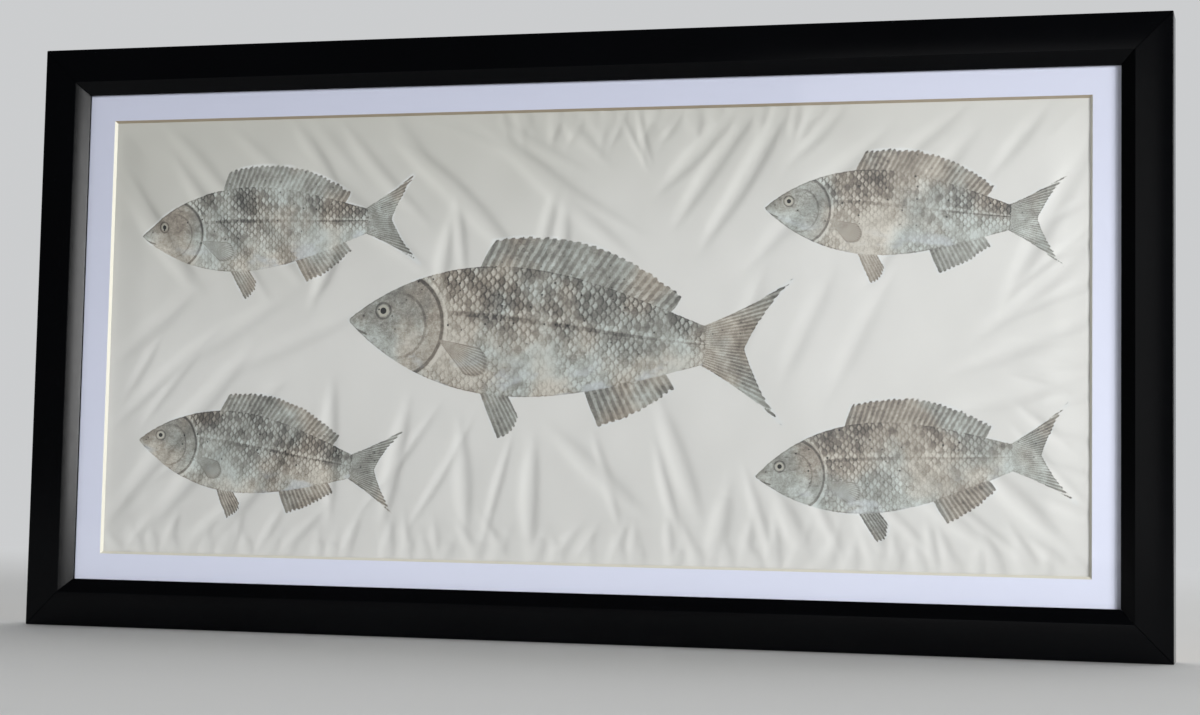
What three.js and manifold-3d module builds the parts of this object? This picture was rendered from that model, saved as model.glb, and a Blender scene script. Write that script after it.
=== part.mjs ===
// A framed fish print: a black wooden moulding round glazing, a white mat and a crinkled printed sheet,
// with the boards, strainer, dust cover and hanging cleat behind them.
// Millimetres. +X is the viewer's right, +Y goes into the wall and +Z is up.
// The origin is the middle of the top rail's back face, on the wall's plane.
import * as THREE from "three";
import { mergeVertices } from "three/addons/utils/BufferGeometryUtils.js";
import Module from "manifold-3d";

const wasm = await Module();
wasm.setup();

// Driving dimensions of the frame
const FRAME_WIDTH = 1400;
const FRAME_HEIGHT = 726;
const FRAME_DEPTH = 50;
const FACE_WIDTH = 42; // flat front face of the moulding
const BEVEL_WIDTH = 16; // slope from the face in to the sight edge
const BEVEL_DEPTH = 12;
const LIP_DEPTH = 3; // upright edge below the slope, in front of the glazing
const RABBET_WIDTH = 8; // how far the lip reaches over the glazing
const OUTER_ROUND = 1.2; // eased arrises
const INNER_ROUND = 0.6;
const MITRE_GAP = 0.3;
const GAP = 0.3; // between pieces that touch

// Fineness of curves, and slack for joining and cutting
const ROUND_STEPS = 3;
const CURVE_STEPS = 5;
const MERGE_DISTANCE = 1e-3;
const CUTTER_PROUD = 0.01;

// What the frame holds, from front to back
const GLAZING_THICKNESS = 2.5;
const MAT_THICKNESS = 3;
const MAT_SHOWN = 32; // flat mat between the sight edge and its window
const SHEET_ROOM = 1.1; // space for the creases behind the mat
const SHEET_THICKNESS = 0.5;
const MOUNT_THICKNESS = 1.5;
const BACKING_THICKNESS = 5;
const STRAINER_THICKNESS = 9;
const STRAINER_WIDTH = 32;
const COVER_THICKNESS = 0.5;
const FILL_CLEARANCE = 1; // all round, between the boards and the rabbet
const SHEET_HIDDEN = 20; // how far the sheet runs on behind the mat

// The hanging cleat, on the upper strainer bar
const CLEAT_LENGTH = 900;
const CLEAT_HEIGHT = 46;
const CLEAT_THICKNESS = 9;
const CLEAT_NOSE = 1.6; // flat at the thin edge of the slanting cut
const CLEAT_SCREWS = 5;
const SCREW_HEAD_RADIUS = 4.6;
const SCREW_HEAD_DEPTH = 3;
const SCREW_SHANK_RADIUS = 1.9;
const SCREW_SHANK_DEPTH = 4.5;
const SCREW_SIDES = 20;
const SCREW_MARGIN = 40; // from the cleat's end to the middle of its first screw

// Planes worked out from the sizes above
const frontY = -FRAME_DEPTH;
const railBody = FACE_WIDTH + BEVEL_WIDTH - RABBET_WIDTH; // solid width at the back
const centreZ = (railBody - FRAME_HEIGHT) / 2;
const glazingY = frontY + BEVEL_DEPTH + LIP_DEPTH + GAP;
const matY = glazingY + GLAZING_THICKNESS + GAP;
const sheetY = matY + MAT_THICKNESS + GAP + SHEET_ROOM;
const mountY = sheetY + SHEET_THICKNESS + GAP;
const backingY = mountY + MOUNT_THICKNESS + GAP;
const strainerY = backingY + BACKING_THICKNESS + GAP;
const coverY = strainerY + STRAINER_THICKNESS + GAP;
const cleatY = coverY + COVER_THICKNESS + GAP;
const fillWidth = FRAME_WIDTH - 2 * (railBody + FILL_CLEARANCE);
const fillHeight = FRAME_HEIGHT - 2 * (railBody + FILL_CLEARANCE);
const windowInset = FACE_WIDTH + BEVEL_WIDTH + MAT_SHOWN; // outer edge to the front of the mat's cut
const windowWidth = FRAME_WIDTH - 2 * (windowInset + MAT_THICKNESS);
const windowHeight = FRAME_HEIGHT - 2 * (windowInset + MAT_THICKNESS);

// Relief of the sheet: it stands a little off its plane, and soft folds in families sink into it.
const SHEET_CELL = 24;
const RELIEF_LIMIT = 3; // how far it stands off inside the window
const RELIEF_AT_EDGE = 1; // and behind the mat
const EDGE_BAND = 40; // over which the one passes into the other
const SWELL_DEPTH = 0.5;
const SWELL_SPANS = { x: [95, -210], z: [140, 83] }; // lengths of its two crossing waves
const FOLD_ENDS = 0.35; // share of a fold's depth that is left at its ends
const FOLD_SPREAD = 0.4; // how much the folds of a family differ in depth
const FOLD_JITTER = 0.012; // and in place, as a share of the window
// Each family lies between a first and a last line, whose ends are shares of the window from its lower left.
const FOLD_FAMILIES = [
  { first: [0.01, 0.83, 0.09, 0.63], last: [0.41, 0.97, 0.555, 0.69], count: 5, width: 12, depth: 2.4 },
  { first: [0.25, 0.72, 0.235, 0.59], last: [0.48, 0.8, 0.485, 0.6], count: 3, width: 9, depth: 1.6 },
  { first: [0.65, 0.99, 0.6, 0.83], last: [0.72, 1, 0.635, 0.72], count: 3, width: 10, depth: 2.4 },
  { first: [0.8, 0.93, 0.69, 0.68], last: [0.995, 0.9, 0.93, 0.6], count: 3, width: 12, depth: 2 },
  { first: [0.01, 0.1, 0.16, 0.45], last: [0.13, 0.06, 0.22, 0.31], count: 3, width: 12, depth: 2.6 },
  { first: [0.25, 0.12, 0.25, 0.36], last: [0.45, 0.06, 0.47, 0.25], count: 4, width: 10, depth: 2 },
  { first: [0.49, 0.28, 0.56, 0.12], last: [0.59, 0.34, 0.64, 0.12], count: 2, width: 12, depth: 1.8 },
  { first: [0.645, 0.01, 0.66, 0.14], last: [0.98, 0.07, 0.89, 0.24], count: 5, width: 11, depth: 2.2 },
];
const DRAW_STEP = 12.9898; // constants of the usual sine draw
const DRAW_SPREAD = 43758.5453;

// The print: a staggered shoal of plain bony fish, all facing left. Places are shares of the window.
const INK_THICKNESS = 0.4; // stands in for the layer of ink
const FISH = [
  { at: [0.49, 0.5], length: 550, turn: 4 },
  { at: [0.185, 0.75], length: 370, turn: -3 },
  { at: [0.18, 0.225], length: 350, turn: 6 },
  { at: [0.835, 0.76], length: 350, turn: 3 },
  { at: [0.835, 0.225], length: 365, turn: -5 },
];
// A body's half height and its deepest place, as shares of the length, and how its head and rear taper
const BODY = { half: 0.142, deepest: 0.373, head: 0.95, rear: 1.6, end: 0.82 };
const BODY_STEPS = 16;
const BODY_CROWDING = 1.5; // crowds the outline's points towards the nose
// Fins: base along the body, ray lengths and lean at its two ends, and how far the outline bulges
const FINS = {
  dorsal: { side: 1, base: [0.29, 0.73], rays: [0.07, 0.045], bulge: 0.03, lean: [62, 40] },
  anal: { side: -1, base: [0.55, 0.73], rays: [0.085, 0.04], bulge: 0.008, lean: [58, 38] },
  pelvic: { side: -1, base: [0.31, 0.37], rays: [0.115, 0.06], bulge: 0.01, lean: [58, 40] },
};
const FIN_STEPS = 8;
const FIN_ROOT = 0.8; // fins start inside the body, at this share of its half height
const TAIL = { root: 0.79, tip: [1, 0.155], notch: 0.905, hollow: [0.935, 0.078], bow: 0.018 };

// Colours of the finishes
const finish = (color, roughness, metalness = 0, more = {}) =>
  new THREE.MeshStandardMaterial({ color, roughness, metalness, ...more });
const BLACK_WOOD = finish(0x101114, 0.42);
const GLAZING = finish(0xe8f0f2, 0.05, 0, { transparent: true, opacity: 0.15 });
const MAT_BOARD = finish(0xe3e4ea, 0.9);
const PRINT_PAPER = finish(0xd9d5c8, 0.75);
const PRINT_INK = finish(0x8d867c, 0.85);
const BOARD = finish(0xe6e2d6, 0.9);
const PINE = finish(0xc8a878, 0.7);
const KRAFT = finish(0xa98358, 0.85);
const STEEL = finish(0xa9abad, 0.35, 1);

const frame = new THREE.Group();
const picture = new THREE.Group(); // centred on the frame, on the wall's plane
picture.position.z = centreZ;
frame.add(picture);

function addMesh(name, geometry, material) {
  geometry.computeVertexNormals();
  const mesh = new THREE.Mesh(geometry, material);
  mesh.name = name;
  picture.add(mesh);
  return mesh;
}

// A block given by its lowest y, its size and its centre in the picture's plane.
function board(width, thickness, height, y, x = 0, z = 0) {
  return new THREE.BoxGeometry(width, thickness, height).translate(x, y + thickness / 2, z);
}

// Booleans between closed geometries
function toSolid(geometry) {
  const bare = geometry.clone();
  for (const key of Object.keys(bare.attributes)) {
    if (key !== "position") bare.deleteAttribute(key);
  }
  const merged = mergeVertices(bare, MERGE_DISTANCE);
  return new wasm.Manifold(
    new wasm.Mesh({
      numProp: 3,
      vertProperties: new Float32Array(merged.attributes.position.array),
      triVerts: new Uint32Array(merged.index.array),
    }),
  );
}

function toGeometry(solid) {
  const mesh = solid.getMesh();
  return new THREE.BufferGeometry()
    .setAttribute("position", new THREE.BufferAttribute(mesh.vertProperties, 3))
    .setIndex(new THREE.BufferAttribute(mesh.triVerts, 1));
}

// Replaces each corner of an outline that has a radius by a short curve.
function easedOutline(corners) {
  const points = [];
  corners.forEach(([x, y, radius = 0], i) => {
    const corner = new THREE.Vector2(x, y);
    if (!radius) {
      points.push(corner);
      return;
    }
    const towards = (other) =>
      new THREE.Vector2(other[0], other[1]).sub(corner).setLength(radius).add(corner);
    const before = towards(corners[(i + corners.length - 1) % corners.length]);
    const after = towards(corners[(i + 1) % corners.length]);
    points.push(...new THREE.QuadraticBezierCurve(before, corner, after).getPoints(ROUND_STEPS));
  });
  return points;
}

// The moulding's section: x is the distance in from the outer edge, y the depth.
function railSection() {
  const sight = FACE_WIDTH + BEVEL_WIDTH;
  const slopeEnd = frontY + BEVEL_DEPTH;
  return easedOutline([
    [0, 0, OUTER_ROUND],
    [0, frontY, OUTER_ROUND],
    [FACE_WIDTH, frontY, INNER_ROUND],
    [sight, slopeEnd, INNER_ROUND],
    [sight, slopeEnd + LIP_DEPTH],
    [railBody, slopeEnd + LIP_DEPTH],
    [railBody, 0, INNER_ROUND],
  ]);
}

function extrude(points, depth) {
  return new THREE.ExtrudeGeometry(new THREE.Shape(points), { depth, bevelEnabled: false });
}

// A rail with mitred ends: the section is extruded, and then each end point slides in with its distance
// from the outer edge.
function mitredRail(length, halfSpan) {
  const geometry = extrude(railSection(), 1);
  const p = geometry.attributes.position;
  for (let i = 0; i < p.count; i++) {
    const inset = p.getX(i);
    const halfLength = length / 2 - inset - MITRE_GAP * Math.SQRT1_2;
    const end = p.getZ(i) > 0 ? 1 : -1;
    p.setXYZ(i, end * halfLength, p.getY(i), halfSpan - inset);
  }
  return geometry;
}

function addRails() {
  const sides = [
    ["top", FRAME_WIDTH, FRAME_HEIGHT / 2, 0],
    ["right", FRAME_HEIGHT, FRAME_WIDTH / 2, Math.PI / 2],
    ["bottom", FRAME_WIDTH, FRAME_HEIGHT / 2, Math.PI],
    ["left", FRAME_HEIGHT, FRAME_WIDTH / 2, -Math.PI / 2],
  ];
  for (const [side, length, halfSpan, turn] of sides) {
    addMesh("rail_" + side, mitredRail(length, halfSpan), BLACK_WOOD).rotation.y = turn;
  }
}

// A closed ring: a section in distances from the outer edge, and in depth, goes round four mitred corners.
function mitredRing(section, width, height) {
  const signs = [[-1, -1], [1, -1], [1, 1], [-1, 1]];
  const positions = [];
  const index = [];
  section.forEach(([inset, y], i) => {
    for (const [sx, sz] of signs) {
      positions.push(sx * (width / 2 - inset), y, sz * (height / 2 - inset));
    }
    const next = (i + 1) % section.length;
    for (let c = 0; c < 4; c++) {
      const d = (c + 1) % 4;
      const [a, b, e, f] = [i * 4 + c, i * 4 + d, next * 4 + d, next * 4 + c];
      index.push(a, e, b, a, f, e);
    }
  });
  return new THREE.BufferGeometry()
    .setAttribute("position", new THREE.Float32BufferAttribute(positions, 3))
    .setIndex(index);
}

// The mat's window is cut at 45 degrees, so that the front opening is the larger one.
function addMat() {
  const cut = windowInset - (FRAME_WIDTH - fillWidth) / 2;
  const section = [
    [0, matY],
    [0, matY + MAT_THICKNESS],
    [cut + MAT_THICKNESS, matY + MAT_THICKNESS],
    [cut, matY],
  ];
  addMesh("mat", mitredRing(section, fillWidth, fillHeight), MAT_BOARD);
}

// The next of a repeatable row of draws from 0 to 1
let drawn = 0;
function draw() {
  drawn += 1;
  const value = Math.sin(drawn * DRAW_STEP) * DRAW_SPREAD;
  return value - Math.floor(value);
}

// Every fold as a line in millimetres from the window's centre: its two ends, length, width and depth
const folds = FOLD_FAMILIES.flatMap(({ first, last, count, width, depth }) =>
  Array.from({ length: count }, (_, i) => {
    const ends = first.map((value, k) => {
      const share = THREE.MathUtils.lerp(value, last[k], i / (count - 1)) - 0.5;
      return (share + (2 * draw() - 1) * FOLD_JITTER) * (k % 2 ? windowHeight : windowWidth);
    });
    const sunk = depth * (1 + (draw() - 0.5) * FOLD_SPREAD);
    return { ends, length: Math.hypot(ends[2] - ends[0], ends[3] - ends[1]), width, sunk };
  }),
);

function foldAt(x, z, { ends: [x0, z0, x1, z1], length, width, sunk }) {
  const share = ((x - x0) * (x1 - x0) + (z - z0) * (z1 - z0)) / length ** 2;
  const across = ((x - x0) * (z1 - z0) - (z - z0) * (x1 - x0)) / length;
  const held = THREE.MathUtils.clamp(share, 0, 1);
  const past = (share - held) * length;
  const taper = FOLD_ENDS + (1 - FOLD_ENDS) * Math.sin(Math.PI * held);
  return sunk * taper * Math.exp(-(across ** 2 + past ** 2) / (2 * width ** 2));
}

// How far the sheet's front stands off its flat plane, at a point from the window's centre
function reliefAt(x, z) {
  const waves = [0, 1].map((i) => Math.sin(x / SWELL_SPANS.x[i] + z / SWELL_SPANS.z[i]));
  let depth = SWELL_DEPTH * (1 + waves[0] * waves[1]);
  for (const fold of folds) depth += foldAt(x, z, fold);
  const inside = Math.min(windowWidth / 2 - Math.abs(x), windowHeight / 2 - Math.abs(z));
  const share = THREE.MathUtils.clamp(inside / EDGE_BAND, 0, 1);
  const limit = THREE.MathUtils.lerp(RELIEF_AT_EDGE, RELIEF_LIMIT, share);
  return limit * Math.exp(-depth / limit);
}

// A closed slab that follows the relief, split into triangles alike on its front and back.
function reliefSlab(lift, thickness, columns, rows) {
  const positions = [];
  const index = [];
  const cols = columns.length;
  for (const back of [0, 1]) {
    for (const z of rows) {
      for (const x of columns) {
        positions.push(x, sheetY - reliefAt(x, z) - lift + back * thickness, z);
      }
    }
  }
  const at = (c, r, back) => back * cols * rows.length + r * cols + c;
  for (let r = 0; r + 1 < rows.length; r++) {
    for (let c = 0; c + 1 < cols; c++) {
      const [a, b, d, e] = [at(c, r, 0), at(c + 1, r, 0), at(c + 1, r + 1, 0), at(c, r + 1, 0)];
      const toBack = at(0, 0, 1);
      index.push(a, b, d, a, d, e);
      index.push(a + toBack, d + toBack, b + toBack, a + toBack, e + toBack, d + toBack);
    }
  }
  const rim = [];
  for (let c = 0; c < cols - 1; c++) rim.push([c, 0]);
  for (let r = 0; r < rows.length - 1; r++) rim.push([cols - 1, r]);
  for (let c = cols - 1; c > 0; c--) rim.push([c, rows.length - 1]);
  for (let r = rows.length - 1; r > 0; r--) rim.push([0, r]);
  rim.forEach(([c, r], i) => {
    const [nc, nr] = rim[(i + 1) % rim.length];
    const [a, b, d, e] = [at(c, r, 0), at(nc, nr, 0), at(nc, nr, 1), at(c, r, 1)];
    index.push(a, d, b, a, e, d);
  });
  return new THREE.BufferGeometry()
    .setAttribute("position", new THREE.Float32BufferAttribute(positions, 3))
    .setIndex(index);
}

// Grid lines of the sheet, evenly spaced over its whole size.
function gridLines(span) {
  const steps = Math.round(span / SHEET_CELL);
  return Array.from({ length: steps + 1 }, (_, i) => -span / 2 + (span * i) / steps);
}

const sheetColumns = gridLines(windowWidth + 2 * SHEET_HIDDEN);
const sheetRows = gridLines(windowHeight + 2 * SHEET_HIDDEN);

// Half height of a fish's body at a share of its length, rising fast at the head and thin at the tail
function bodyHeight(u) {
  return BODY.half * (u / BODY.deepest) ** BODY.head * ((1 - u) / (1 - BODY.deepest)) ** BODY.rear;
}

function bodyOutline() {
  const upper = Array.from({ length: BODY_STEPS + 1 }, (_, i) => {
    const u = BODY.end * (i / BODY_STEPS) ** BODY_CROWDING;
    return new THREE.Vector2(u, bodyHeight(u));
  });
  const lower = upper.slice(1).map(({ x, y }) => new THREE.Vector2(x, -y));
  return [...upper, ...lower.reverse()];
}

// A fin grows from the body's edge as a fan of rays; its outline joins their roots and tips.
function finOutline({ side, base, rays, bulge, lean }) {
  const roots = [];
  const tips = [];
  for (let i = 0; i <= FIN_STEPS; i++) {
    const share = i / FIN_STEPS;
    const u = THREE.MathUtils.lerp(base[0], base[1], share);
    const angle = THREE.MathUtils.degToRad(THREE.MathUtils.lerp(lean[0], lean[1], share));
    const reach = THREE.MathUtils.lerp(rays[0], rays[1], share) + bulge * Math.sin(Math.PI * share);
    const rise = side * bodyHeight(u);
    roots.push(new THREE.Vector2(u, rise * FIN_ROOT));
    tips.push(new THREE.Vector2(u + reach * Math.cos(angle), rise + side * reach * Math.sin(angle)));
  }
  return [...roots, ...tips.reverse()];
}

// The forked tail: two bowed edges out to the tips and a hollow trailing edge
function tailOutline() {
  const half = (side) => {
    const root = new THREE.Vector2(TAIL.root, side * bodyHeight(BODY.end) * FIN_ROOT);
    const tip = new THREE.Vector2(TAIL.tip[0], side * TAIL.tip[1]);
    const bend = root.clone().lerp(tip, 0.5).sub(new THREE.Vector2(0, side * TAIL.bow));
    const hollow = new THREE.Vector2(TAIL.hollow[0], side * TAIL.hollow[1]);
    const notch = new THREE.Vector2(TAIL.notch, 0);
    const outer = new THREE.QuadraticBezierCurve(root, bend, tip).getPoints(CURVE_STEPS);
    const inner = new THREE.QuadraticBezierCurve(tip, hollow, notch).getPoints(CURVE_STEPS);
    return [...outer, ...inner.slice(1)];
  };
  return [...half(1), ...half(-1).reverse().slice(1)];
}

// Moves an outline from shares of a fish's length to its place in the picture, as an upright prism.
function placedPrism(outline, x, z, length, turn) {
  return extrude(outline, FRAME_DEPTH)
    .rotateX(Math.PI / 2)
    .translate(-0.5, 0, 0)
    .scale(length, 1, length)
    .rotateY(THREE.MathUtils.degToRad(turn))
    .translate(x, 0, z);
}

// One printed fish: its outline, cut out of a thin layer that lies on the creased sheet
function addFish({ at, length, turn }, number) {
  const x = (at[0] - 0.5) * windowWidth;
  const z = (at[1] - 0.5) * windowHeight;
  const outlines = [bodyOutline(), tailOutline(), ...Object.values(FINS).map(finOutline)];
  const prisms = outlines.map((outline) => toSolid(placedPrism(outline, x, z, length, turn)));
  const within = (lines, centre, span) =>
    lines.filter((value) => Math.abs(value - centre) < span + 2 * SHEET_CELL);
  const columns = within(sheetColumns, x, length / 2);
  const rows = within(sheetRows, z, length / 4);
  const layer = toSolid(reliefSlab(GAP + INK_THICKNESS, INK_THICKNESS, columns, rows));
  addMesh("print_fish_" + number, toGeometry(layer.intersect(wasm.Manifold.union(prisms))), PRINT_INK);
}

function addPrint() {
  addMesh("print_sheet", reliefSlab(0, SHEET_THICKNESS, sheetColumns, sheetRows), PRINT_PAPER);
  FISH.forEach((fish, i) => addFish(fish, i + 1));
}

function addBoards() {
  addMesh("glazing", board(fillWidth, GLAZING_THICKNESS, fillHeight, glazingY), GLAZING);
  addMesh("mount_board", board(fillWidth, MOUNT_THICKNESS, fillHeight, mountY), BOARD);
  addMesh("backing_board", board(fillWidth, BACKING_THICKNESS, fillHeight, backingY), BOARD);
  addMesh("dust_cover", board(fillWidth, COVER_THICKNESS, fillHeight, coverY), KRAFT);
}

// The strainer's long bars run the full width, and its short bars stand between them.
function addStrainer() {
  const longZ = (fillHeight - STRAINER_WIDTH) / 2;
  const shortX = (fillWidth - STRAINER_WIDTH) / 2;
  const shortLength = fillHeight - 2 * STRAINER_WIDTH - 2 * GAP;
  for (const [side, sign] of [["top", 1], ["bottom", -1]]) {
    const bar = board(fillWidth, STRAINER_THICKNESS, STRAINER_WIDTH, strainerY, 0, sign * longZ);
    addMesh("strainer_" + side, bar, PINE);
  }
  for (const [side, sign] of [["left", -1], ["right", 1]]) {
    const bar = board(STRAINER_WIDTH, STRAINER_THICKNESS, shortLength, strainerY, sign * shortX, 0);
    addMesh("strainer_" + side, bar, PINE);
  }
}

// A countersunk screw pointing to the front, with its flat head's face at y 0.
function screwGeometry(spare) {
  const profile = [
    [0, 0],
    [SCREW_HEAD_RADIUS + spare, 0],
    [SCREW_SHANK_RADIUS + spare, -SCREW_HEAD_DEPTH - spare],
    [SCREW_SHANK_RADIUS + spare, -SCREW_SHANK_DEPTH - spare],
    [0, -SCREW_SHANK_DEPTH - spare],
  ];
  const points = profile.map(([radius, y]) => new THREE.Vector2(radius, y)).reverse();
  return new THREE.LatheGeometry(points, SCREW_SIDES);
}

// The cleat: a strip whose lower edge is cut at 45 degrees, to hook over a matching strip on the wall
function addCleat() {
  const backY = cleatY + CLEAT_THICKNESS;
  const top = fillHeight / 2;
  const bottom = top - CLEAT_HEIGHT;
  const section = [
    [cleatY, top],
    [cleatY, bottom + CLEAT_THICKNESS - CLEAT_NOSE],
    [cleatY + CLEAT_NOSE, bottom + CLEAT_THICKNESS - CLEAT_NOSE],
    [backY, bottom],
    [backY, top],
  ];
  const alongX = new THREE.Matrix4().makeBasis(
    new THREE.Vector3(0, 1, 0),
    new THREE.Vector3(0, 0, 1),
    new THREE.Vector3(1, 0, 0),
  );
  const strip = extrude(section.map(([y, z]) => new THREE.Vector2(y, z)), CLEAT_LENGTH)
    .translate(0, 0, -CLEAT_LENGTH / 2)
    .applyMatrix4(alongX);
  let solid = toSolid(strip);
  const screwZ = top - STRAINER_WIDTH / 2;
  for (let i = 0; i < CLEAT_SCREWS; i++) {
    const x = (CLEAT_LENGTH - 2 * SCREW_MARGIN) * (i / (CLEAT_SCREWS - 1) - 0.5);
    const hole = screwGeometry(GAP).translate(x, backY + CUTTER_PROUD, screwZ);
    solid = solid.subtract(toSolid(hole));
    addMesh("cleat_screw_" + (i + 1), screwGeometry(0).translate(x, backY, screwZ), STEEL);
  }
  addMesh("hanging_cleat", toGeometry(solid), PINE);
}

addRails();
addBoards();
addMat();
addPrint();
addStrainer();
addCleat();

export default frame;
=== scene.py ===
"""Looks of a framed fish print: black moulding, glazing, white mat and a creased printed sheet."""

import math
from types import SimpleNamespace

import bpy
import numpy as np
from mathutils import Euler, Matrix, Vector


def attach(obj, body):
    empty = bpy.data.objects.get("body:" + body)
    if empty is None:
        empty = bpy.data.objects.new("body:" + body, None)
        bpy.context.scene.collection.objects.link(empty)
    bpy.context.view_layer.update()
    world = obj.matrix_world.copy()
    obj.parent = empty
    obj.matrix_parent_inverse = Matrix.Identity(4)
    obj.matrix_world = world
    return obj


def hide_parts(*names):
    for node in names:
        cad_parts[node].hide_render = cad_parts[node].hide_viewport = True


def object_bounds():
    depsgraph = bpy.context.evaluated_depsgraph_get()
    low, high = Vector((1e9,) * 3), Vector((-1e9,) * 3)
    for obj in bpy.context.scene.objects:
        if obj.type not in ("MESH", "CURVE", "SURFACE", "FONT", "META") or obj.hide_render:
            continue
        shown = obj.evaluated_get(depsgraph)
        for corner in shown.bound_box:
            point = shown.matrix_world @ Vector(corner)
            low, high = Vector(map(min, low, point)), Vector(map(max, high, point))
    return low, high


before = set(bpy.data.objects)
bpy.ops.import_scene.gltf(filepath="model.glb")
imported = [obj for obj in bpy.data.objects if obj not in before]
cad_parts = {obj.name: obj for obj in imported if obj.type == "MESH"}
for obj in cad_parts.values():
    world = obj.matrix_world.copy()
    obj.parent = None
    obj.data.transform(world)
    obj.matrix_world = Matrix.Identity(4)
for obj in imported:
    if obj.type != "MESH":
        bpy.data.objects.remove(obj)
cad_low, cad_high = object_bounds()

MM = 0.001

# Driving sizes of the moulding, as in the part
FACE_WIDTH = 42 * MM
BEVEL_WIDTH = 16 * MM
BEVEL_DEPTH = 12 * MM
LIP_DEPTH = 3 * MM
RABBET_WIDTH = 8 * MM
OUTER_ROUND = 1.2 * MM
INNER_ROUND = 0.6 * MM
MITRE_GAP = 0.3 * MM
MITRE_EASE = 0.35 * MM
ROUND_STEPS = 6
SHARP_ANGLE = math.radians(30)

# The frame's box and the picture's middle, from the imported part
LEFT, FRONT, BOTTOM = cad_low
RIGHT, BACK, TOP = cad_high
MIDDLE_Z = (TOP + BOTTOM) / 2

# The sheet, and the window that the mat leaves open in front of it, as in the part
WINDOW_WIDTH = 1214 * MM
WINDOW_HEIGHT = 540 * MM
SHEET_WIDTH = 1254 * MM
SHEET_HEIGHT = 580 * MM
SHEET_FRONT = -27.5 * MM
SHEET_BACK = -27 * MM
SHEET_CELL = 2.75 * MM

# How far the sheet may stand off: inside the window and at its edge, and the band between the two
RELIEF_LIMIT = 4.3 * MM
RELIEF_AT_EDGE = 1.2 * MM
EDGE_BAND = 50 * MM
EDGE_SWELL = 0.3  # share of the swells that is left at the edge, so that the puckers show
SWELL_HEIGHT = 0.5 * MM
SWELL_SPANS = ((95 * MM, 140 * MM), (-210 * MM, 83 * MM))

# A fold's depth and width at its ends, as shares of those in its middle, and how far it fades past them
FOLD_ENDS = 0.2
FOLD_TIP = 0.75
FOLD_FADE = 3
# Widths of a fold's right side, which lies in shade, and its left side
STEEP_SIDE, SOFT_SIDE = 1, 1.2
# How much the folds of a family differ in depth, and in place as a share of the window
FOLD_SPREAD = 0.4
FOLD_JITTER = 0.012
# The real folds are narrower, deeper and more bent than the part's coarse sheet can show
FOLD_SHARPNESS = 0.52
FOLD_DEPTH = 3.1
FOLD_BOW = 104 * MM

# Low swells between the folds: wavelengths along the sheet and up it in metres, and height in mm
RIPPLES = ((0.137, 0.24, 0.22), (-0.093, 0.151, 0.17), (0.231, -0.083, 0.2), (0.061, 0.117, 0.07))
# First line, last line, number of folds, width and height in mm, as in the part
MAIN_FOLDS = (
    ((0.01, 0.83, 0.09, 0.63), (0.41, 0.97, 0.555, 0.69), 5, 12, 2.4),
    ((0.25, 0.72, 0.235, 0.59), (0.48, 0.8, 0.485, 0.6), 3, 9, 1.6),
    ((0.65, 0.99, 0.6, 0.83), (0.72, 1, 0.635, 0.72), 3, 10, 2.4),
    ((0.8, 0.93, 0.69, 0.68), (0.995, 0.9, 0.93, 0.6), 3, 12, 2),
    ((0.01, 0.1, 0.16, 0.45), (0.13, 0.06, 0.22, 0.31), 3, 12, 2.6),
    ((0.25, 0.12, 0.25, 0.36), (0.45, 0.06, 0.47, 0.25), 4, 10, 2),
    ((0.49, 0.28, 0.56, 0.12), (0.59, 0.34, 0.64, 0.12), 2, 12, 1.8),
    ((0.645, 0.01, 0.66, 0.14), (0.98, 0.07, 0.89, 0.24), 5, 11, 2.2),
)
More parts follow.
